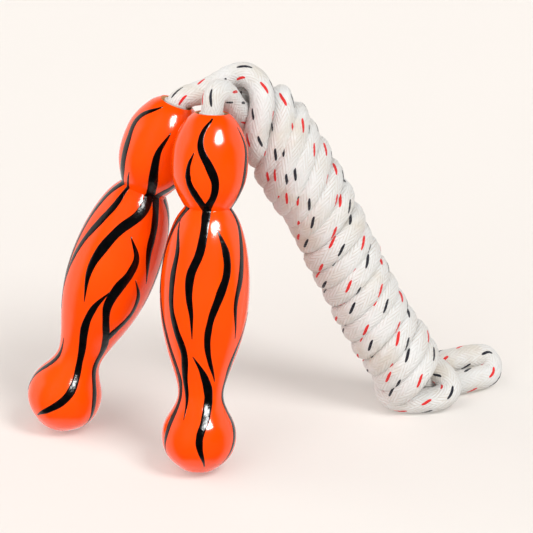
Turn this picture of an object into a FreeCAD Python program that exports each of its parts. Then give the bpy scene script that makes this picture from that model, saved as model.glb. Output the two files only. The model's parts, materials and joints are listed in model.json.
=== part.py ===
"""Child's skipping rope, stored as a standing tripod.

Two turned wooden handles lean together, and the rope that joins them is wound on itself into a
hank, which is the third leg. Millimetres, +Z up. The origin is on the surface that the rope
stands on, at the middle of the box around the two handles.
"""
import FreeCAD, Part
import math
import os

V = FreeCAD.Vector

# Rope
ROPE_R = 4.7                 # soft braided cotton, about 9.4 mm thick
CLEARANCE = 0.3              # free gap all round, wherever a handle turns on the rope

# Turned handle: (height, radius) stations along its own axis, from the foot of the knob up
KNOB_AND_BARREL = [(0.0, 5.4), (2.8, 9.4), (7.0, 12.8), (12.8, 14.2), (18.6, 13.2), (23.4, 10.6),
                   (28.5, 8.7), (34.5, 9.5), (43.0, 12.4), (54.0, 15.5), (68.0, 17.0),
                   (82.0, 16.1), (92.5, 13.7), (98.0, 11.3), (101.4, 8.9)]
HEAD = [(101.4, 8.9), (105.0, 11.1), (110.5, 13.5), (118.5, 14.5), (126.0, 13.8),
        (132.0, 11.3), (136.0, 8.4), (137.5, 6.5)]
HANDLE_LENGTH = HEAD[-1][0]
BORE_R = ROPE_R + CLEARANCE
MOUTH_R = 6.2                # bare countersink where the rope comes out of the head
MOUTH_DEPTH = 3.0
POCKET_R = 7.0               # pocket in the knob, for the stop on the end of the rope
POCKET_DEPTH = 18.0
PLUG_LENGTH = 5.0

# Stop on each end of the rope: a washer, held by a crimped ferrule
ROPE_TAIL = 7.0              # height in the handle where the rope ends
CRIMPED_R = 4.3
FERRULE_R = 6.0
FERRULE_SPAN = (8.0, 16.2)
FERRULE_EDGE = 0.5
WASHER_R = POCKET_R - CLEARANCE
WASHER_THICK = 1.4
WASHER_TOP = POCKET_DEPTH - CLEARANCE

# Where the handles stand: x and y of the middle of the foot, and the lean towards +X and +Y
PLACES = {
    "right": {"foot": (22.75, -28.17), "lean": (0.040, 0.250)},
    "left": {"foot": (-33.15, 9.93), "lean": (0.348, 0.121)},
}

# Hank: middle line in the plane y = HANK_Y, as (x, z, radius) from its top to its foot
HANK_Y = 29.0
HANK = [(46.2, 137.0, 5.0), (47.6, 133.2, 7.6), (49.2, 128.6, 10.2), (51.2, 122.5, 12.6),
        (54.0, 115.5, 14.2), (58.3, 106.0, 15.2), (64.1, 95.5, 15.1), (70.0, 84.0, 14.6),
        (74.9, 72.0, 14.3), (80.1, 61.0, 14.1), (85.8, 49.0, 14.2), (91.7, 37.0, 14.3),
        (98.0, 27.0, 14.3), (102.8, 18.5, 14.2), (106.0, 12.0, 13.4), (108.6, 6.5, 10.5),
        (110.4, 2.8, 5.8)]

# Free rope between the handles and the hank: points by hand, after a short straight exit
EXIT_RUN = 5.4
LEADS = {
    "right": [(30.9, 11.6, 142.4), (34.9, 16.7, 141.8), (39.2, 21.9, 138.2), (43.4, 26.0, 131.6)],
    "left": [(20.6, 28.2, 137.4), (25.8, 29.4, 139.0), (31.9, 30.8, 140.0), (38.3, 31.6, 139.6),
             (44.2, 31.2, 136.6)],
}
RUN_SHARE = 0.45             # share of the shorter run that each arc of the rope may take

# Bight: the folded end of the core, which pokes out of the foot of the hank
BIGHT_FOLD_R = 5.0
BIGHT_FOOT = V(104.0, 33.0, ROPE_R)
BIGHT_ALONG = V(0.900, 0.436, 0.0)
BIGHT_LENGTH = 31.0
BIGHT_TILT = 52.0            # of the fold's plane above the surface, in degrees


def smooth_edge(stations):
    """A smooth outline through (height, radius) stations, in the XZ plane."""
    curve = Part.BSplineCurve()
    curve.interpolate([V(radius, 0, height) for height, radius in stations])
    return curve.toShape()


def turned_blank():
    """The handle's outside, solid, on the Z axis with its foot at the origin."""
    top = V(0, 0, HANDLE_LENGTH)
    foot = V(0, 0, 0)
    outline = Part.Wire([
        Part.makeLine(foot, V(KNOB_AND_BARREL[0][1], 0, 0)),
        smooth_edge(KNOB_AND_BARREL),
        smooth_edge(HEAD),
        Part.makeLine(V(HEAD[-1][1], 0, HANDLE_LENGTH), top),
        Part.makeLine(top, foot),
    ])
    return Part.Face(outline).revolve(foot, V(0, 0, 1), 360)


def cylinder(radius, low, high):
    return Part.makeCylinder(radius, high - low, V(0, 0, low))


def handle():
    """Handle with its through bore, its countersunk mouth and the pocket in the knob."""
    countersink = Part.makeCone(BORE_R, MOUTH_R, MOUTH_DEPTH,
                                V(0, 0, HANDLE_LENGTH - MOUTH_DEPTH))
    wood = turned_blank()
    for hollow in (cylinder(BORE_R, 0, HANDLE_LENGTH), cylinder(POCKET_R, 0, POCKET_DEPTH),
                   countersink):
        wood = wood.cut(hollow)
    return wood


def end_plug():
    """Wooden plug that closes the pocket, turned flush with the knob."""
    return turned_blank().common(cylinder(POCKET_R, 0, PLUG_LENGTH))


def rope_end():
    """The length of rope inside a handle, pinched where the stop grips it."""
    pinched = cylinder(CRIMPED_R, ROPE_TAIL, WASHER_TOP)
    return pinched.fuse(cylinder(ROPE_R, WASHER_TOP, HANDLE_LENGTH)).removeSplitter()


def washer():
    low = WASHER_TOP - WASHER_THICK
    return cylinder(WASHER_R, low, WASHER_TOP).cut(cylinder(CRIMPED_R, low, WASHER_TOP))


def ferrule():
    """Crimped metal sleeve with rounded rims."""
    low, high = FERRULE_SPAN
    sleeve = cylinder(FERRULE_R, low, high)
    rims = [edge for edge in sleeve.Edges if isinstance(edge.Curve, Part.Circle)]
    sleeve = sleeve.makeFillet(FERRULE_EDGE, rims)
    return sleeve.cut(cylinder(CRIMPED_R, low, high))


def lean_axis(side):
    x, y = PLACES[side]["lean"]
    return V(x, y, math.sqrt(1 - x * x - y * y))


def stand_offset(side):
    """Height of the middle of the foot, when the rim of the foot rests on the surface."""
    axis = lean_axis(side)
    sideways = math.hypot(axis.x, axis.y)
    return max(radius * sideways - height * axis.z for height, radius in KNOB_AND_BARREL[:4])


def foot_point(side):
    x, y = PLACES[side]["foot"]
    return V(x, y, FOOT_Z[side])


def placed(shape, side):
    """A copy of a shape on the Z axis, moved to where that handle stands."""
    moved = shape.copy()
    moved.Placement = FreeCAD.Placement(foot_point(side),
                                        FreeCAD.Rotation(V(0, 0, 1), lean_axis(side)))
    return moved


def rounded_path(points):
    """Straight runs joined by tangent arcs. Returns the wire and its arcs' radii."""
    edges = []
    radii = []
    start = points[0]
    for before, corner, after in zip(points, points[1:], points[2:]):
        back = (before - corner).normalize()
        ahead = (after - corner).normalize()
        half_turn = (math.pi - back.getAngle(ahead)) / 2
        reach = RUN_SHARE * min((before - corner).Length, (after - corner).Length)
        radius = reach / math.tan(half_turn)
        arc_start = corner + back * reach
        arc_end = corner + ahead * reach
        bisector = (back + ahead).normalize()
        depth = radius / math.cos(half_turn) - radius
        edges.append(Part.makeLine(start, arc_start))
        edges.append(Part.Arc(arc_start, corner + bisector * depth, arc_end).toShape())
        radii.append(radius)
        start = arc_end
    edges.append(Part.makeLine(start, points[-1]))
    return Part.Wire(edges), radii


def tube(wire):
    """Rope-thick tube along a wire, its volume checked against section times length."""
    first = wire.Edges[0]
    start = first.valueAt(first.FirstParameter)
    along = first.tangentAt(first.FirstParameter)
    ring = Part.Wire(Part.makeCircle(ROPE_R, start, along))
    solid = wire.makePipeShell([ring], True, False)
    expected = math.pi * ROPE_R ** 2 * wire.Length
    if not solid.isValid() or abs(solid.Volume / expected - 1) > 0.02:
        raise ValueError("a length of rope came out %.3f of its volume" % (solid.Volume / expected))
    return solid


def hank():
    """The wound rope's outer shape, as rings across its curved middle line."""
    centres = [V(x, HANK_Y, z) for x, z, radius in HANK]
    rings = []
    for index, (x, z, radius) in enumerate(HANK):
        along = centres[min(index + 1, len(HANK) - 1)] - centres[max(index - 1, 0)]
        rings.append(Part.Wire(Part.makeCircle(radius, centres[index], along)))
    return Part.makeLoft(rings, True, True)


def lead(side):
    """Rope from a handle's mouth to the hank, whose top it sinks into."""
    mouth = foot_point(side) + lean_axis(side) * HANDLE_LENGTH
    points = [mouth, mouth + lean_axis(side) * EXIT_RUN] + [V(*point) for point in LEADS[side]]
    wire, radii = rounded_path(points)
    print("rope_lead_%s radii mm:" % side, " ".join("%.1f" % radius for radius in radii),
          " length %.1f" % wire.Length)
    return tube(wire)


def bight():
    """Two strands side by side, joined by a fold, leaning back from the surface."""
    tilt = math.radians(BIGHT_TILT)
    level = V(-BIGHT_ALONG.y, BIGHT_ALONG.x, 0)
    across = level * math.cos(tilt) + V(0, 0, math.sin(tilt))
    run = BIGHT_ALONG * BIGHT_LENGTH
    fold = BIGHT_ALONG * BIGHT_FOLD_R
    near, far = BIGHT_FOOT, BIGHT_FOOT + across * (2 * BIGHT_FOLD_R)
    bend = Part.Arc(near + run, near + run + fold + across * BIGHT_FOLD_R, far + run)
    wire = Part.Wire([Part.makeLine(near, near + run), bend.toShape(),
                      Part.makeLine(far + run, far)])
    print("rope_bight radius mm: %.1f  length %.1f" % (BIGHT_FOLD_R, wire.Length))
    return tube(wire)


FOOT_Z = {side: stand_offset(side) for side in PLACES}


def build():
    nodes = {"rope_hank": hank(), "rope_bight": bight()}
    for side in PLACES:
        nodes["handle_" + side] = placed(handle(), side)
        nodes["end_plug_" + side] = placed(end_plug(), side)
        nodes["rope_end_" + side] = placed(rope_end(), side)
        nodes["washer_" + side] = placed(washer(), side)
        nodes["ferrule_" + side] = placed(ferrule(), side)
        nodes["rope_lead_" + side] = lead(side)
    return nodes


def main():
    os.makedirs("parts", exist_ok=True)
    for name, shape in build().items():
        shape.exportStep("parts/%s.step" % name)


main()
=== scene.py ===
"""Child's skipping rope, standing as a tripod: two striped turned handles and a wound rope."""
import json
import math

import bpy
import numpy as np
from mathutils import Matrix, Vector


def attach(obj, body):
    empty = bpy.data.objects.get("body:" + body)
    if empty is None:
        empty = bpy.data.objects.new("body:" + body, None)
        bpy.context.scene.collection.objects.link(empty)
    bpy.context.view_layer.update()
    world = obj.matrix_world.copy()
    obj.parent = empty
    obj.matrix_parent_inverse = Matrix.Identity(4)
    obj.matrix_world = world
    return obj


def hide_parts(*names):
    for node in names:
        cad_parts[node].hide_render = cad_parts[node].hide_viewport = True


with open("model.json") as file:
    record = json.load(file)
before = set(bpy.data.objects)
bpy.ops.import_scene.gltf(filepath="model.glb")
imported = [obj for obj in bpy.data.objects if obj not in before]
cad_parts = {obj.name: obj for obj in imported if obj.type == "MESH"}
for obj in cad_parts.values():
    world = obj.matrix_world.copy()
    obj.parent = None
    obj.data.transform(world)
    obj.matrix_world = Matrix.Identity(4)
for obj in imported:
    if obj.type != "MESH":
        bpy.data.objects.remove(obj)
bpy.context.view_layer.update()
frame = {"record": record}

MM = 0.001

# ---------------------------------------------------------------- the frame's own places

BEHAVIOUR = frame["record"]["behaviour"]
SPIN = {joint["child"].split("_")[0]: joint for joint in BEHAVIOUR["joints"]}
SIDES = ("right", "left")


def unit(vector):
    vector = np.asarray(vector, float)
    return vector / np.linalg.norm(vector)


FOOT = {side: np.array(SPIN[side]["pos_m"]) / MM for side in SIDES}
AXIS = {side: unit(SPIN[side]["axis"]) for side in SIDES}


def handle_basis(side):
    """Directions across a handle: its front, towards -Y, and its right side, towards +X."""
    front = np.array([0.0, -1.0, 0.0])
    front = unit(front - AXIS[side] * front.dot(AXIS[side]))
    return front, np.cross(AXIS[side], front)


def on_handle(side, height, angle, radius):
    """A point on a handle, in millimetres: height along it, angle from its front, radius."""
    front, across = handle_basis(side)
    out = front * math.cos(angle) + across * math.sin(angle)
    return FOOT[side] + AXIS[side] * height + out * radius


# ---------------------------------------------------------------- small mesh and node helpers

def new_mesh(name, points_mm, faces, smooth=True):
    mesh = bpy.data.meshes.new(name)
    mesh.from_pydata([tuple(float(c) * MM for c in p) for p in points_mm], [], faces)
    mesh.validate()
    if smooth:
        mesh.polygons.foreach_set("use_smooth", [True] * len(mesh.polygons))
    obj = bpy.data.objects.new(name, mesh)
    bpy.context.scene.collection.objects.link(obj)
    return obj


def ring_faces(rings, around, closed_ends=False, closed_loop=False):
    """Quads between successive rings of points, with one face over each end if it is closed."""
    faces = []
    last = rings if closed_loop else rings - 1
    for ring in range(last):
        here, there = ring * around, ((ring + 1) % rings) * around
        for step in range(around):
            after = (step + 1) % around
            faces.append((here + step, here + after, there + after, there + step))
    if closed_ends:
        faces.append(tuple(reversed(range(around))))
        faces.append(tuple(range((rings - 1) * around, rings * around)))
    return faces


class Nodes:
    """Short way to write a material's nodes: every call returns an output socket."""

    def __init__(self, name):
        self.material = bpy.data.materials.new(name)
        self.material.use_nodes = True
        self.tree = self.material.node_tree
        self.shader = self.tree.nodes["Principled BSDF"]

    def add(self, kind, inputs=(), output=0, **settings):
        node = self.tree.nodes.new(kind)
        for key, value in settings.items():
            setattr(node, key, value)
        for key, value in dict(inputs).items():
            self.feed(node.inputs[key], value)
        return node.outputs[output]

    def feed(self, socket, value):
        if isinstance(value, bpy.types.NodeSocket):
            self.tree.links.new(value, socket)
        else:
            socket.default_value = value

    def math(self, operation, first, second=0.0, third=0.0):
        inputs = {0: first, 1: second, 2: third}
        return self.add("ShaderNodeMath", inputs, operation=operation)

    def smooth(self, value, low, high):
        """0 below low, 1 above high, smooth between them."""
        inputs = {"Value": value, "From Min": low, "From Max": high}
        return self.add("ShaderNodeMapRange", inputs, interpolation_type="SMOOTHSTEP")

    def mix(self, factor, first, second):
        inputs = {0: factor, 6: first, 7: second}
        return self.add("ShaderNodeMix", inputs, output=2, data_type="RGBA")

    def noise(self, scale, detail=3.0, roughness=0.55):
        """Noise through the object's own space; scale is per metre."""
        place = self.add("ShaderNodeTexCoord", output=3)
        inputs = {"Scale": scale, "Detail": detail, "Roughness": roughness, "Vector": place}
        return self.add("ShaderNodeTexNoise", inputs)

    def attribute(self, name):
        return self.add("ShaderNodeAttribute", output=2, attribute_name=name)

    def bump(self, height, strength, distance, normal=None):
        inputs = {"Height": height, "Strength": strength, "Distance": distance}
        if normal is not None:
            inputs["Normal"] = normal
        return self.add("ShaderNodeBump", inputs)

    def set(self, **sockets):
        for key, value in sockets.items():
            self.feed(self.shader.inputs[key.replace("_", " ")], value)
        return self.material


# ---------------------------------------------------------------- camera

CAMERA_RISE = math.radians(24.5)
CAMERA_FAR = 3.0
CAMERA_AIM = Vector((0.0489, 0.0019, 0.0726))
CAMERA_LENS = 533.2


def add_camera():
    back = Vector((0, -math.cos(CAMERA_RISE), math.sin(CAMERA_RISE)))
    camera = bpy.data.cameras.new("camera")
    camera.lens = CAMERA_LENS
    camera.sensor_width = 36
    holder = bpy.data.objects.new("camera", camera)
    holder.location = CAMERA_AIM + back * CAMERA_FAR
    holder.rotation_euler = (math.pi / 2 - CAMERA_RISE, 0, 0)
    bpy.context.scene.collection.objects.link(holder)
    bpy.context.scene.camera = holder


# ---------------------------------------------------------------- the rope's route, millimetres

ROPE_R = 4.7
HANDLE_LENGTH = 137.5
INSIDE = 12.0                # how far the rope is followed into each handle's bore
HANK_Y = 29.0                # the hank's middle line lies in this plane
# Its stations, from the top to the foot: x, z and the radius of the wound rope
HANK = [(46.2, 137.0, 5.0), (47.6, 133.2, 7.6), (49.2, 128.6, 10.2), (51.2, 122.5, 12.6),
        (53.5, 115.5, 14.5), (57.7, 106.0, 15.6), (63.7, 95.5, 15.4), (70.0, 84.0, 14.6),
        (74.9, 72.0, 14.3), (80.1, 61.0, 14.1), (85.8, 49.0, 14.2), (91.7, 37.0, 14.3),
        (98.0, 27.0, 14.3), (102.8, 18.5, 14.2), (106.0, 12.0, 13.4), (108.6, 6.5, 10.5),
        (110.4, 2.8, 5.8)]
# Control points of the free stretches, each in the direction from a handle to the hank
LEAD_RIGHT = [(28.9, 7.6, 140.3), (31.2, 11.2, 141.8), (34.0, 15.6, 137.6), (36.2, 20.5, 130.8),
              (40.0, 25.5, 124.5), (44.5, 28.0, 118.0)]
LEAD_LEFT = [(18.2, 27.2, 132.0), (23.6, 28.5, 133.0), (29.2, 29.7, 134.8), (34.7, 31.0, 138.3),
             (40.8, 29.0, 141.2), (46.5, 25.2, 138.0), (47.7, 20.7, 131.0), (45.0, 19.0, 121.5),
             (45.2, 19.6, 115.4)]
# The bight that pokes out of the foot: two strands side by side and the fold that joins them
BIGHT_FOLD_R = 4.5
BIGHT_FOOT = np.array([104.0, 33.0, ROPE_R])
BIGHT_ALONG = np.array([0.900, 0.436, 0.0])
BIGHT_LENGTH = 32.0
BIGHT_TILT = 52.0            # of the fold's plane above the floor, in degrees
# Turns of the core over the top of the hank, and from the core round its foot to the wraps
TOP_FOLD = [(47.5, 35.0, 126.0), (43.0, 37.0, 130.6), (38.2, 36.0, 129.6), (37.8, 33.0, 124.0),
            (41.8, 30.5, 118.5)]
FOOT_TURN = [(99.0, 34.0, 20.5), (98.5, 36.8, 14.0), (95.2, 35.5, 9.5), (94.8, 30.0, 8.6),
             (97.0, 26.0, 6.2), (102.5, 25.2, 4.9), (109.0, 25.6, 4.8), (116.2, 26.2, 5.4),
             (120.4, 29.0, 8.4), (117.4, 32.8, 12.8)]
CORE_OFFSET = 3.0            # of the folded strands from the hank's middle line
CORE_STEPS = 6
WRAP_POINTS = 14             # control points for each turn of the wrapping
WRAP_THICK = 4.4             # from a wrap's middle to the hank's outer surface
SAMPLE_FINE = 0.78           # distance between rings of the braid where the rope shows
SAMPLE_COARSE = 2.4          # and where it is the folded core


def smooth_through(points, steps):
    """A Catmull-Rom curve through points, steps samples to a span."""
    points = np.asarray(points, float)
    padded = np.vstack([2 * points[0] - points[1], points, 2 * points[-1] - points[-2]])
    out = []
    for index in range(len(points) - 1):
        a, b, c, d = padded[index:index + 4]
        for t in np.arange(steps) / steps:
            out.append(0.5 * (2 * b + (c - a) * t + (2 * a - 5 * b + 4 * c - d) * t * t
                              + (3 * b - a - 3 * c + d) * t ** 3))
    out.append(points[-1])
    return np.array(out)


class HankLine:
    """The hank's middle line from its foot up, by distance along it."""

    def __init__(self):
        line = smooth_through(HANK[::-1], 24)
        self.x, self.z, self.radius = line.T
        steps = np.hypot(np.diff(self.x), np.diff(self.z))
        self.at = np.concatenate([[0], np.cumsum(steps)])
        self.length = self.at[-1]

    def place(self, distance):
        x = np.interp(distance, self.at, self.x)
        z = np.interp(distance, self.at, self.z)
        return np.array([x, HANK_Y, z])

    def outer(self, distance):
        return np.interp(distance, self.at, self.radius)

    def frame(self, distance):
        """Along the line, out to the hank's upper right side, and back from the camera."""
        reach = 3.0
        along = unit(self.place(distance + reach) - self.place(distance - reach))
        back = np.array([0.0, 1.0, 0.0])
        return along, np.cross(back, along), back

    def around(self, distance, angle, radius):
        along, out, back = self.frame(distance)
        return self.place(distance) + (out * math.cos(angle) + back * math.sin(angle)) * radius


HANK_LINE = HankLine()
WRAP_FROM = 8.5              # along the hank's line, where the wrapping starts above its foot
WRAP_TO = HANK_LINE.length - 15.0
WRAP_ANGLE = math.radians(40)
WRAP_TURNS = 15.5
WRAP_TILT = 3.0              # how much higher each wrap lies on its right than its middle
TOP_TILT = 12.0              # the same for the last wraps, which lean over with the fold
TOP_REACH = 60.0             # length over which the wraps come to lean that much


def core_strand(angle, low, high):
    """One folded strand inside the hank, from low to high along its line."""
    stops = np.linspace(low, high, CORE_STEPS)
    return [HANK_LINE.around(stop, angle, CORE_OFFSET) for stop in stops]


def bight_points():
    """Out along the surface, round the fold and back: the corners of the fold are an octagon's."""
    tilt = math.radians(BIGHT_TILT)
    level = np.array([-BIGHT_ALONG[1], BIGHT_ALONG[0], 0.0])
    across = level * math.cos(tilt) + np.array([0, 0, math.sin(tilt)])
    middle = BIGHT_FOOT + BIGHT_ALONG * BIGHT_LENGTH + across * BIGHT_FOLD_R
    corner = BIGHT_FOLD_R / math.cos(math.pi / 8)
    near = [BIGHT_FOOT + BIGHT_ALONG * share * BIGHT_LENGTH for share in (0.25, 0.62)]
    far = [point + across * 2 * BIGHT_FOLD_R for point in reversed(near)]
    fold = [middle + BIGHT_ALONG * corner * math.cos(turn) + across * corner * math.sin(turn)
            for turn in np.radians([-67.5, -22.5, 22.5, 67.5])]
    return near + fold + far


def wrap_points():
    """The wrapping: a right-handed helix round the hank's line, a little uneven."""
    pitch = (WRAP_TO - WRAP_FROM) / WRAP_TURNS
    count = round(WRAP_TURNS * WRAP_POINTS)
    points = []
    for index in range(count + 1):
        turn = index / WRAP_POINTS
        angle = WRAP_ANGLE + turn * 2 * math.pi
        uneven = 0.35 * math.sin(turn * 2.1) + 0.25 * math.sin(turn * 5.3 + 1.0)
        distance = WRAP_FROM + turn * pitch + uneven
        near_top = min(max((distance - WRAP_TO) / TOP_REACH + 1, 0), 1)
        lean = WRAP_TILT + (TOP_TILT - WRAP_TILT) * near_top * near_top * (3 - 2 * near_top)
        distance += lean * math.cos(angle)
        radius = HANK_LINE.outer(distance) - WRAP_THICK
        radius += 0.22 * math.sin(turn * 3.7 + 0.6) + 0.15 * math.sin(angle * 2 + turn)
        points.append(HANK_LINE.around(distance, angle, radius))
    return points


def rope_route():
    """Control points from inside the right handle to inside the left one, and which are wraps."""
    right_mouth = on_handle("right", HANDLE_LENGTH, 0, 0)
    left_mouth = on_handle("left", HANDLE_LENGTH, 0, 0)
    top, foot = HANK_LINE.length - 17.0, 20.0
    stretches = [
        ("free", [right_mouth - AXIS["right"] * INSIDE, right_mouth - AXIS["right"] * INSIDE / 2,
                  right_mouth]),
        ("free", LEAD_RIGHT),
        ("core", core_strand(math.radians(330), top - 9, foot)),
        ("free", bight_points()),
        ("core", core_strand(math.radians(90), foot, top)),
        ("free", TOP_FOLD),
        ("core", core_strand(math.radians(150), top - 12, foot + 8)),
        ("free", FOOT_TURN),
        ("wrap", wrap_points()),
        ("free", LEAD_LEFT[::-1]),
        ("free", [left_mouth, left_mouth - AXIS["left"] * INSIDE / 2,
                  left_mouth - AXIS["left"] * INSIDE]),
    ]
    points, kinds = [], []
    for kind, stretch in stretches:
        points += [np.asarray(p, float) for p in stretch]
        kinds += [kind] * len(stretch)
    return np.array(points), kinds


def spline_points(control):
    """Points read from a smooth NURBS spline with these control points."""
    curve = bpy.data.curves.new("rope_route", "CURVE")
    curve.dimensions = "3D"
    spline = curve.splines.new("NURBS")
    spline.points.add(len(control) - 1)
    for point, place in zip(spline.points, control):
        point.co = (*[float(c) * MM for c in place], 1.0)
    spline.order_u = 3
    spline.use_endpoint_u = True
    spline.resolution_u = 10
    obj = bpy.data.objects.new("rope_route", curve)
    bpy.context.scene.collection.objects.link(obj)
    bpy.context.view_layer.update()
    mesh = bpy.data.meshes.new_from_object(obj)
    line = np.array([vertex.co[:] for vertex in mesh.vertices]) / MM
    bpy.data.objects.remove(obj)
    bpy.data.meshes.remove(mesh)
    return line


def follow(control, kinds):
    """The rope's path with uneven steps: fine where it shows, coarse in the core."""
    line = spline_points(control)
    at = np.concatenate([[0], np.cumsum(np.linalg.norm(np.diff(line, axis=0), axis=1))])
    parameter = np.linspace(0, len(control) - 1, len(line))
    kind_at = np.array([("free", "core", "wrap").index(kind) for kind in kinds])
    nearest = kind_at[np.clip(np.rint(parameter).astype(int), 0, len(kinds) - 1)]
    stops, here = [0.0], 0.0
    while here < at[-1] - SAMPLE_FINE:
        index = min(int(np.searchsorted(at, here)), len(nearest) - 1)
        here += SAMPLE_COARSE if nearest[index] == 1 else SAMPLE_FINE
        stops.append(min(here, at[-1]))
    stops = np.array(stops)
    path = np.column_stack([np.interp(stops, at, line[:, axis]) for axis in range(3)])
    wrapped = np.interp(stops, at, (nearest == 2).astype(float))
    width = 12
    kernel = np.hanning(2 * width + 1)
    wrapped = np.convolve(np.pad(wrapped, width, mode="edge"), kernel / kernel.sum(), "valid")
    return path, stops, wrapped


# ---------------------------------------------------------------- the braided rope

AROUND = 48
YARNS = 12                   # plaits that run each way round the rope
LAY = 54.0                   # length of rope in which one plait goes once round
SQUEEZE = 0.13               # share of the radius that the rope loses at each handle's mouth
SQUEEZE_REACH = 8.0          # length over which it fills out again
PRESSED = (4.5, 4.45)        # half widths of a wrap's section, along the hank and out from it
PRESSED_POWER = 2.7          # how square that section is; 2 is an ellipse


def cross_frames(path):
    """Two directions across the path, turning as little as they can from ring to ring."""
    tangent = np.gradient(path, axis=0)
    tangent /= np.linalg.norm(tangent, axis=1, keepdims=True)
    side = unit(np.cross(tangent[0], [0.0, 0.0, 1.0]))
    sides = []
    for direction in tangent:
        side = unit(side - direction * side.dot(direction))
        sides.append(side)
    sides = np.array(sides)
    return sides, np.cross(tangent, sides)


def plait_relief(around, along):
    """Height of a braid's surface: two families of plaits, each over two and under two."""
    left = YARNS * (around + along / LAY)
    right = YARNS * (around - along / LAY)
    crown_left = 1 - (2 * np.mod(left, 1) - 1) ** 2
    crown_right = 1 - (2 * np.mod(right, 1) - 1) ** 2
    over_left = np.cos(np.pi / 2 * (right + np.floor(left) - 1))
    over_right = np.cos(np.pi / 2 * (left + np.floor(right) - 3))
    return np.maximum(0.16 * over_left + 0.18 * crown_left,
                      0.16 * over_right + 0.18 * crown_right) - 0.18


def wrap_section(angle, weight):
    """Radius of the rope's section: round when free, pressed against its neighbours in a wrap."""
    along, out = PRESSED
    pressed = (np.abs(np.cos(angle) / along) ** PRESSED_POWER
               + np.abs(np.sin(angle) / out) ** PRESSED_POWER) ** (-1 / PRESSED_POWER)
    return ROPE_R * (1 - weight) + pressed * weight


def hank_directions(path):
    """For each point, the direction along the hank's line at the nearest place on it."""
    stations = np.linspace(0, HANK_LINE.length, 160)
    places = np.array([HANK_LINE.place(s) for s in stations])
    along = np.array([HANK_LINE.frame(s)[0] for s in stations])
    nearest = [int(np.argmin(np.linalg.norm(places - point, axis=1))) for point in path]
    return along[nearest]


def squeeze(stops):
    """Share of its radius that the rope keeps: less in the handles and just outside them."""
    from_mouth = np.minimum(stops - INSIDE, stops[-1] - INSIDE - stops)
    return 1 - SQUEEZE * np.exp(-(np.maximum(from_mouth, 0) / SQUEEZE_REACH) ** 2)


def rope_surface(path, stops, wrapped):
    side, up = cross_frames(path)
    along_hank = hank_directions(path)
    turns = np.arange(AROUND) / AROUND
    angle = 2 * np.pi * turns[None, :]
    pressed_from = np.arctan2((along_hank * up).sum(1), (along_hank * side).sum(1))[:, None]
    radius = wrap_section(angle - pressed_from, wrapped[:, None]) * squeeze(stops)[:, None]
    radius = radius + plait_relief(turns[None, :], stops[:, None])
    points = (path[:, None, :]
              + (side[:, None, :] * np.cos(angle)[:, :, None]
                 + up[:, None, :] * np.sin(angle)[:, :, None]) * radius[:, :, None])
    return points


def add_rope():
    control, kinds = rope_route()
    path, stops, wrapped = follow(control, kinds)
    points = rope_surface(path, stops, wrapped)
    rings = len(path)
    rope = new_mesh("skipping_rope", points.reshape(-1, 3),
                    ring_faces(rings, AROUND, closed_ends=True))
    mark_rope(rope.data, stops)
    rope.data.materials.append(cotton_material())
    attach(rope, "rope")
    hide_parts("rope_hank", "rope_bight", "rope_lead_left", "rope_lead_right")
    return rope


def mark_rope(mesh, stops):
    """Gives every face corner its distance along the rope and its share of a turn around it."""
    along = mesh.attributes.new("rope_along", "FLOAT", "CORNER")
    around = mesh.attributes.new("rope_around", "FLOAT", "CORNER")
    corners = np.empty(len(mesh.loops), np.int32)
    mesh.loops.foreach_get("vertex_index", corners)
    starts = np.empty(len(mesh.polygons), np.int32)
    totals = np.empty(len(mesh.polygons), np.int32)
    mesh.polygons.foreach_get("loop_start", starts)
    mesh.polygons.foreach_get("loop_total", totals)
    turn = (corners % AROUND) / AROUND
    quads = starts[totals == 4]
    quad_corners = quads[:, None] + np.arange(4)[None, :]
    seam = turn[quad_corners].max(axis=1) - turn[quad_corners].min(axis=1) > 0.5
    over = quad_corners[seam]
    turn[over] = np.where(turn[over] < 0.5, turn[over] + 1, turn[over])
    along.data.foreach_set("value", stops[corners // AROUND].astype(np.float32))
    around.data.foreach_set("value", turn.astype(np.float32))


COTTON = (0.635, 0.635, 0.622, 1)
COTTON_WORN = (0.585, 0.54, 0.47, 1)
COTTON_CLEAN = (0.68, 0.68, 0.67, 1)
# Colour of the grooves between yarns: painted shade there, and soil
COTTON_GROOVE_SHADE_AND_SOIL = (0.54, 0.485, 0.43, 1)
TRACER_RED = (0.62, 0.012, 0.012, 1)
TRACER_BLACK = (0.008, 0.008, 0.016, 1)
TRACER_HALF_WIDE = 0.26      # of a plait's width
TRACER_HALF_LONG = 0.86      # in plaits crossed


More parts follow.
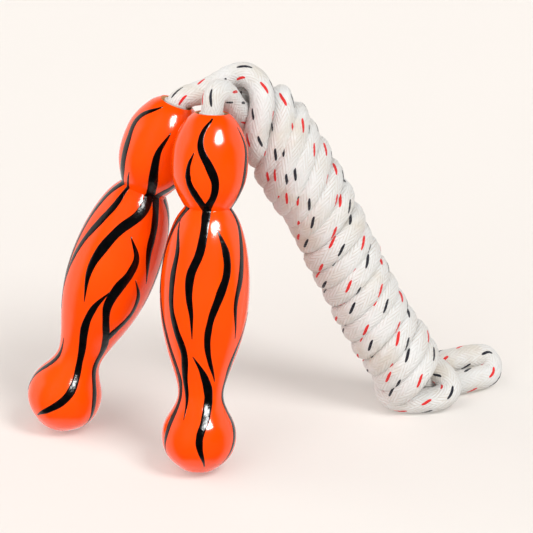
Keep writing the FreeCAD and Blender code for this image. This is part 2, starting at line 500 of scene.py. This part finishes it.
def cotton_material():
    """White plaited cotton with red and black tracer yarns."""
    n = Nodes("plaited_cotton")
    along, around = n.attribute("rope_along"), n.attribute("rope_around")
    twist = n.math("DIVIDE", along, LAY)
    left = n.math("MULTIPLY", n.math("ADD", around, twist), YARNS)
    right = n.math("MULTIPLY", n.math("SUBTRACT", around, twist), YARNS)
    left_cell, right_cell = n.math("FLOOR", left), n.math("FLOOR", right)
    cells = n.math("FLOORED_MODULO", n.math("ADD", left_cell, right_cell), 4.0)
    left_on_top = n.math("LESS_THAN", cells, 2.0)

    def tracer(number):
        """1 along the middle of one plait, wherever it lies on top, with rounded ends."""
        is_it = n.math("COMPARE", n.math("FLOORED_MODULO", left_cell, YARNS / 2), number, 0.1)
        across = n.math("ABSOLUTE", n.math("SUBTRACT", n.math("FRACT", left), 0.5))
        travel = n.math("FLOORED_MODULO", n.math("ADD", right, left_cell), 4.0)
        middle = n.math("ABSOLUTE", n.math("SUBTRACT", travel, 1.0))
        blob = n.math("ADD", n.math("POWER", n.math("DIVIDE", across, TRACER_HALF_WIDE), 2.0),
                      n.math("POWER", n.math("DIVIDE", middle, TRACER_HALF_LONG), 4.0))
        return n.math("MULTIPLY", is_it, n.math("SUBTRACT", 1.0, n.smooth(blob, 0.75, 1.15)))

    red, black = tracer(4.0), tracer(0.0)
    worn = n.noise(55.0, 4.0)
    dirty = n.noise(140.0, 5.0)
    white = n.mix(n.smooth(worn, 0.45, 0.72), COTTON, COTTON_WORN)
    white = n.mix(n.smooth(dirty, 0.35, 0.8), white, COTTON_CLEAN)
    yarns = {0: left_on_top,
             2: n.math("FRACT", n.math("MULTIPLY", left, 2.0)),
             3: n.math("FRACT", n.math("MULTIPLY", right, 2.0))}
    across_yarn = n.add("ShaderNodeMix", yarns, data_type="FLOAT")
    valley = n.math("ABSOLUTE", n.math("SUBTRACT", across_yarn, 0.5))
    # Darker in the grooves between the yarns, in random patches: painted shade in the grooves, and
    # soil
    patches = n.smooth(n.noise(90.0, 3.0), 0.36, 0.62)
    groove_shade_and_soil = n.math("MULTIPLY", n.smooth(valley, 0.30, 0.5), patches)
    white = n.mix(groove_shade_and_soil, white, COTTON_GROOVE_SHADE_AND_SOIL)
    colour = n.mix(red, white, TRACER_RED)
    colour = n.mix(black, colour, TRACER_BLACK)
    fibres = n.noise(2600.0, 4.0, 0.65)
    ridges = n.math("SUBTRACT", 1.0, n.math("POWER", n.math("MULTIPLY", valley, 2.0), 2.0))
    bumped = n.bump(ridges, 0.6, 0.0003)
    bumped = n.bump(fibres, 0.45, 0.00022, bumped)
    return n.set(Base_Color=colour, Roughness=0.92, Normal=bumped, Sheen_Weight=0.25,
                 Sheen_Roughness=0.5, Specular_IOR_Level=0.25)


# ---------------------------------------------------------------- turned handles

KNOB_AND_BARREL = [(0.0, 5.4), (2.8, 9.4), (7.0, 12.8), (12.8, 14.2), (18.6, 13.2), (23.4, 10.6),
                   (28.5, 8.7), (34.5, 9.5), (43.0, 12.4), (54.0, 15.5), (68.0, 17.0),
                   (82.0, 16.1), (92.5, 13.7), (98.0, 11.3), (101.4, 8.9)]
HEAD = [(101.4, 8.9), (105.0, 11.1), (110.5, 13.5), (118.5, 14.5), (126.0, 13.8),
        (132.0, 11.3), (136.0, 8.4), (137.5, 6.5)]
BORE_R = 5.0
MOUTH_R = 6.2
MOUTH_DEPTH = 3.0
POCKET_R = 7.0
POCKET_DEPTH = 18.0
TURNED_STEPS = 144


def natural_spline(stations, steps):
    """A smooth outline through (height, radius) stations, steps samples to a span."""
    points = np.array(stations, float)
    chord = np.concatenate([[0], np.cumsum(np.linalg.norm(np.diff(points, axis=0), axis=1))])
    gaps = np.diff(chord)
    size = len(points)
    matrix, target = np.eye(size), np.zeros((size, 2))
    for i in range(1, size - 1):
        matrix[i, i - 1:i + 2] = gaps[i - 1], 2 * (gaps[i - 1] + gaps[i]), gaps[i]
        target[i] = 6 * ((points[i + 1] - points[i]) / gaps[i]
                         - (points[i] - points[i - 1]) / gaps[i - 1])
    bend = np.linalg.solve(matrix, target)
    out = []
    for i in range(size - 1):
        for t in np.arange(steps) / steps * gaps[i]:
            rest = gaps[i] - t
            out.append((bend[i] * rest ** 3 + bend[i + 1] * t ** 3) / (6 * gaps[i])
                       + (points[i] / gaps[i] - bend[i] * gaps[i] / 6) * rest
                       + (points[i + 1] / gaps[i] - bend[i + 1] * gaps[i] / 6) * t)
    out.append(points[-1])
    return np.array(out)


LOWER_OUTLINE = natural_spline(KNOB_AND_BARREL, 12)
UPPER_OUTLINE = natural_spline(HEAD, 12)
OUTLINE = np.vstack([LOWER_OUTLINE, UPPER_OUTLINE[1:]])


def turned_radius(height):
    return np.interp(height, OUTLINE[:, 0], OUTLINE[:, 1])


def add_handle(side, enamel, bare_wood):
    """The turned handle as one closed surface: outside, countersunk mouth, bore and pocket."""
    start = np.interp(POCKET_R, LOWER_OUTLINE[:20, 1], LOWER_OUTLINE[:20, 0])
    outer = [(h, r) for h, r in OUTLINE if h > start + 0.1]
    profile = ([(start, POCKET_R)] + outer
               + [(HANDLE_LENGTH - 0.15, MOUTH_R), (HANDLE_LENGTH - MOUTH_DEPTH, BORE_R + 0.15),
                  (HANDLE_LENGTH - MOUTH_DEPTH - 0.5, BORE_R), (POCKET_DEPTH, BORE_R),
                  (POCKET_DEPTH, POCKET_R)])
    outer_rings = len(outer) + 1
    points = [on_handle(side, h, 2 * math.pi * step / TURNED_STEPS, r)
              for h, r in profile for step in range(TURNED_STEPS)]
    faces = ring_faces(len(profile), TURNED_STEPS, closed_loop=True)
    handle = new_mesh("turned_handle_" + side, points, faces)
    handle.data.materials.append(enamel)
    handle.data.materials.append(bare_wood)
    for index, face in enumerate(handle.data.polygons):
        ring = index // TURNED_STEPS
        face.material_index = 0 if ring < outer_rings else 1
    mark_creases(handle.data, profile, outer_rings)
    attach(handle, side + "_handle")
    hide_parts("handle_" + side)
    return handle


def mark_creases(mesh, profile, outer_rings):
    """Keeps the groove, the mouth's rim and the pocket's corners sharp."""
    groove = min(range(len(profile)), key=lambda i: abs(profile[i][0] - HEAD[0][0])
                 + (0 if i < outer_rings else 99))
    sharp_rings = {0, groove} | set(range(outer_rings - 1, len(profile)))
    for edge in mesh.edges:
        a, b = edge.vertices
        if a // TURNED_STEPS == b // TURNED_STEPS and a // TURNED_STEPS in sharp_rings:
            edge.use_edge_sharp = True


# Brush strokes: (height, degrees round from the front towards the right, width), in mm
STROKES = {
    "right": [
        [(136.5, 2, 0.6), (132, -15, 2.0), (126, -16, 2.8), (119, -1, 3.4), (113, 9, 3.4),
         (107, 8, 3.0), (101.5, -3, 3.4), (95, -5, 3.4), (86, -10, 3.7), (78, -20, 3.7),
         (70, -21, 3.0), (62, -17, 1.8), (53, -16, 0.3)],
        [(124, -26, 0.4), (118, -34, 2.0), (112, -33, 2.9), (106, -20, 3.2), (101, -4, 2.6)],
        [(133, 66, 0.4), (125, 71, 2.4), (116, 68, 3.0), (108, 69, 3.2), (101.5, 76, 3.0),
         (90, 63, 2.8), (77, 53, 3.0), (66, 44, 2.2), (53, 52, 0.3)],
        [(95, 17, 0.4), (87, 28, 3.0), (79, 29, 3.6), (70, 19, 3.6), (61, 9, 2.9), (52, 6, 2.6),
         (44, 13, 1.9), (36, 30, 0.3)],
        [(98, -62, 0.3), (87, -46, 2.2), (76, -48, 3.0), (65, -48, 2.8), (56, -41, 3.1),
         (46, -31, 3.4), (34, -39, 2.3), (21, -31, 0.3)],
        [(78, -86, 0.3), (62, -74, 2.4), (50, -64, 2.8), (37, -56, 2.6), (28, -64, 2.4),
         (17, -60, 2.8), (6, -74, 0.3)],
        [(62, 84, 0.3), (45, 63, 2.6), (34, 71, 2.8), (24, 78, 3.2), (15, 72, 3.2),
         (3, 58, 0.3)],
        [(46, -16, 0.3), (38, 5, 2.8), (30, 20, 3.8), (23, 12, 3.4), (16, 1, 3.1), (10, 2, 2.4),
         (3, 14, 0.3)],
        [(102, -60, 3.0), (94, -72, 2.8), (84, -81, 2.4), (68, -87, 0.3)],
    ],
    "left": [
        [(136, -38, 0.5), (129, -68, 2.8), (119, -64, 3.6), (109, -63, 3.8), (101.5, -74, 3.6),
         (92, -80, 3.2), (80, -84, 2.8), (62, -86, 2.4), (46, -84, 0.3)],
        [(129, 2, 0.4), (121, -6, 2.4), (113, -2, 3.5), (105, 8, 3.9), (101.5, 12, 3.9),
         (95, 3, 4.2), (87, -18, 4.2), (77, -31, 4.2), (67, -36, 2.8), (55, -29, 0.3)],
        [(122, 72, 0.4), (113, 58, 2.6), (107, 46, 3.6), (101.5, 32, 3.4), (91, 33, 3.4),
         (81, 34, 2.8), (69, 47, 0.3)],
        [(108, -43, 0.3), (104, -46, 1.2), (100.5, -48, 1.4)],
        [(102, -47, 1.5), (95, -44, 2.8), (87, -52, 3.2), (77, -65, 2.8), (66, -76, 2.4),
         (52, -84, 0.3)],
        [(86, 0, 0.3), (79, 17, 2.4), (72, 16, 3.8), (65, 8, 4.3), (57, 4, 3.6), (50, 12, 3.0),
         (43, 27, 3.0), (36, 42, 3.0), (25, 50, 2.8), (16, 50, 2.6), (4, 64, 0.4)],
        [(70, 27, 0.3), (63, 43, 2.0), (55, 46, 2.4), (47, 35, 3.0), (42, 29, 2.6)],
        [(63, 0, 0.3), (54, -13, 2.6), (44, -16, 3.4), (33, -5, 2.8), (24, 3, 2.8),
         (16, -4, 3.4), (9, -24, 2.4), (4, -48, 0.3)],
        [(101, 66, 3.0), (89, 82, 3.0), (76, 72, 2.6), (58, 68, 0.3)],
        [(36, -62, 0.3), (27, -70, 2.6), (19, -84, 2.6), (10, -92, 0.3)],
    ],
}
BACK_STROKES = [
    [(135, 150, 0.3), (127, 164, 2.8), (118, 149, 3.2), (109, 158, 3.2), (101.5, 172, 3.2),
     (92, 161, 3.4), (80, 175, 3.4), (68, 160, 2.6), (55, 168, 0.3)],
    [(127, 216, 0.3), (118, 203, 2.6), (110, 214, 2.8), (102, 204, 2.4)],
    [(97, 136, 0.3), (85, 122, 3.0), (72, 137, 3.3), (60, 125, 2.6), (48, 133, 0.3)],
    [(91, 203, 0.3), (79, 216, 3.0), (66, 201, 3.5), (53, 213, 2.6), (40, 205, 0.3)],
    [(100, 238, 1.5), (88, 229, 2.8), (75, 243, 2.6), (60, 233, 0.3)],
    [(60, 149, 0.3), (47, 163, 2.8), (35, 150, 3.0), (24, 161, 2.8), (13, 152, 2.4),
     (4, 166, 0.3)],
    [(52, 236, 0.3), (41, 224, 2.4), (29, 237, 2.6), (17, 227, 2.6), (6, 240, 0.3)],
    [(128, 120, 0.3), (119, 131, 2.4), (110, 119, 2.8), (102, 126, 1.8)],
    [(44, 112, 0.3), (33, 122, 2.2), (22, 111, 2.6), (10, 120, 0.3)],
]
PAINT_THICK = 0.09
STROKE_ACROSS = np.array([-1.0, -0.86, -0.45, 0.0, 0.45, 0.86, 1.0])
STROKE_HEIGHT = np.array([-0.5, 0.55, 0.95, 1.0, 0.95, 0.55, -0.5])


def stroke_points(side, stations):
    """Rings of one closed stroke of paint: over its rounded top and back under the surface."""
    line = smooth_through(stations, 10)
    share = np.linspace(0, 1, len(line))
    waver = 1 + 0.04 * np.sin(share * 23 + stations[0][1]) + 0.03 * np.sin(share * 51)
    half = np.maximum(line[:, 2] * waver, 0.1) / 2
    heights, angles = line[:, 0], np.radians(line[:, 1])
    radius = turned_radius(heights)
    slope = np.gradient(heights), np.gradient(angles) * radius
    length = np.hypot(*slope)
    up, round_ = slope[0] / length, slope[1] / length
    rings = []
    for i in range(len(line)):
        top, under = [], []
        for across, lift in zip(STROKE_ACROSS, STROKE_HEIGHT):
            offset = across * half[i]
            height = np.clip(heights[i] - round_[i] * offset, 0.5, HANDLE_LENGTH - 0.3)
            angle = angles[i] + up[i] * offset / radius[i]
            surface = turned_radius(height)
            top.append(on_handle(side, height, angle, surface + lift * PAINT_THICK))
            under.append(on_handle(side, height, angle, surface - PAINT_THICK))
        rings.append(top + under[::-1][1:-1])
    return rings


def add_strokes(side, black):
    points, faces = [], []
    for stations in STROKES[side] + BACK_STROKES:
        rings = stroke_points(side, stations)
        base = len(points)
        around = len(rings[0])
        points += [p for ring in rings for p in ring]
        faces += [tuple(base + i for i in face)
                  for face in ring_faces(len(rings), around, closed_ends=True)]
    strokes = new_mesh("painted_stripes_" + side, points, faces)
    strokes.data.materials.append(black)
    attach(strokes, side + "_handle")
    return strokes


def enamel_material():
    """Thick glossy orange enamel over turned wood, faintly uneven from the brush and the dip."""
    n = Nodes("orange_enamel")
    tone = n.noise(38.0, 2.0)
    colour = n.mix(n.smooth(tone, 0.3, 0.75), (0.90, 0.070, 0.0003, 1), (0.87, 0.061, 0.0002, 1))
    peel = n.noise(260.0, 2.0, 0.4)
    rings = n.noise(75.0, 3.0, 0.5)
    bumped = n.bump(peel, 0.10, 0.0004)
    bumped = n.bump(rings, 0.10, 0.0012, bumped)
    return n.set(Base_Color=colour, Roughness=0.13, Normal=bumped, Specular_IOR_Level=0.42)


def black_material():
    """Brushed-on black enamel, whose streaks break up the highlights."""
    n = Nodes("black_brush_enamel")
    streaks = n.noise(420.0, 5.0, 0.6)
    shade = n.smooth(streaks, 0.3, 0.8)
    colour = n.mix(shade, (0.0008, 0.0008, 0.001, 1), (0.003, 0.003, 0.0035, 1))
    bumped = n.bump(streaks, 0.35, 0.0006)
    return n.set(Base_Color=colour, Roughness=0.15, Normal=bumped, Specular_IOR_Level=0.35)


def bare_wood_material():
    """End grain of pale beech at the mouth and inside the bore."""
    n = Nodes("bare_beech")
    grain = n.noise(900.0, 4.0, 0.6)
    colour = n.mix(n.smooth(grain, 0.3, 0.75), (0.62, 0.34, 0.15, 1), (0.42, 0.19, 0.07, 1))
    return n.set(Base_Color=colour, Roughness=0.6, Normal=n.bump(grain, 0.4, 0.0003))


def metal_material(name, colour, dull, roughness):
    n = Nodes(name)
    marks = n.noise(700.0, 4.0, 0.6)
    tint = n.mix(n.smooth(marks, 0.3, 0.8), colour, dull)
    return n.set(Base_Color=tint, Metallic=1.0, Roughness=roughness,
                 Normal=n.bump(marks, 0.25, 0.0002))


def paint_node(node, material):
    obj = bpy.data.objects[node]
    obj.data.materials.clear()
    obj.data.materials.append(material)


# ---------------------------------------------------------------- floor and light

def floor_material():
    n = Nodes("pale_floor")
    mottle = n.noise(6.0, 2.0)
    colour = n.mix(mottle, (0.55, 0.527, 0.50, 1), (0.56, 0.536, 0.509, 1))
    return n.set(Base_Color=colour, Roughness=0.95, Specular_IOR_Level=0.0,
                 Emission_Color=(1, 0.955, 0.905, 1), Emission_Strength=0.265)


FLOOR_HALF = 20000.0


def add_floor():
    corners = [(x * FLOOR_HALF, y * FLOOR_HALF, 0) for x, y in ((-1, -1), (1, -1), (1, 1), (-1, 1))]
    floor = new_mesh("floor", corners, [(0, 1, 2, 3)], smooth=False)
    floor.data.materials.append(floor_material())
    floor.visible_glossy = False


def add_sun(name, towards, strength, size, glossy=True, colour=(1, 1, 1), diffuse=True):
    """A far light from one direction, size degrees across, seen in gloss, in shading or both."""
    light = bpy.data.lights.new(name, "SUN")
    light.energy = strength
    light.angle = math.radians(size)
    light.color = colour
    holder = bpy.data.objects.new(name, light)
    holder.rotation_euler = Vector(towards).to_track_quat("Z", "Y").to_euler()
    holder.visible_glossy = glossy
    holder.visible_diffuse = diffuse
    bpy.context.scene.collection.objects.link(holder)


WORLD_DARK = 0.03
WORLD_BRIGHT = 1.05


def add_world():
    """A pale studio: bright at the sides, behind and straight down, dark above and in front."""
    world = bpy.data.worlds.new("studio")
    world.use_nodes = True
    tree = world.node_tree
    direction = tree.nodes.new("ShaderNodeTexCoord").outputs["Generated"]
    split = tree.nodes.new("ShaderNodeSeparateXYZ")
    tree.links.new(direction, split.inputs[0])

    def ramp(axis, dark, bright):
        node = tree.nodes.new("ShaderNodeMapRange")
        node.interpolation_type = "SMOOTHSTEP"
        node.inputs["From Min"].default_value = dark
        node.inputs["From Max"].default_value = bright
        tree.links.new(split.outputs[axis], node.inputs["Value"])
        return node.outputs["Result"]

    def join(operation, first, second):
        node = tree.nodes.new("ShaderNodeMath")
        node.operation = operation
        tree.links.new(first, node.inputs[0])
        tree.links.new(second, node.inputs[1])
        return node.outputs[0]

    walls = join("MULTIPLY", ramp("Y", -0.25, 0.10), ramp("Z", 0.72, 0.40))
    bright = join("MAXIMUM", walls, ramp("Z", -0.78, -0.95))
    strength = tree.nodes.new("ShaderNodeMapRange")
    strength.inputs["To Min"].default_value = WORLD_DARK
    strength.inputs["To Max"].default_value = WORLD_BRIGHT
    tree.links.new(bright, strength.inputs["Value"])
    background = tree.nodes["Background"]
    background.inputs["Color"].default_value = (1.0, 0.96, 0.92, 1)
    tree.links.new(strength.outputs["Result"], background.inputs["Strength"])
    bpy.context.scene.world = world


LAMPS = [(0.386, -0.551, 0.74), (0.508, -0.441, 0.74)]      # side by side, as one soft box


def add_lights():
    add_sun("key", (0.46, -0.45, 0.765), 2.0, 24, glossy=False)
    for index, towards in enumerate(LAMPS):
        add_sun("lamp_%d" % (index + 1), towards, 3.6, 19, diffuse=False)
    add_sun("front_fill", (-0.10, -0.86, 0.50), 1.85, 90, glossy=False)
    add_sun("left_fill", (-0.80, -0.25, 0.55), 1.8, 90, glossy=False, colour=(1, 0.94, 0.92))
    add_world()
    bpy.context.scene.view_settings.view_transform = "Standard"


# ---------------------------------------------------------------- everything

add_camera()
add_rope()
enamel, black, beech = enamel_material(), black_material(), bare_wood_material()
zinc = metal_material("zinc_plate", (0.62, 0.63, 0.65, 1), (0.48, 0.49, 0.50, 1), 0.35)
aluminium = metal_material("crimped_aluminium", (0.80, 0.80, 0.81, 1), (0.62, 0.62, 0.64, 1), 0.45)
inner_cotton = cotton_material()
for side in SIDES:
    add_handle(side, enamel, beech)
    add_strokes(side, black)
    paint_node("end_plug_" + side, enamel)
    paint_node("washer_" + side, zinc)
    paint_node("ferrule_" + side, aluminium)
    paint_node("rope_end_" + side, inner_cotton)
add_floor()
add_lights()
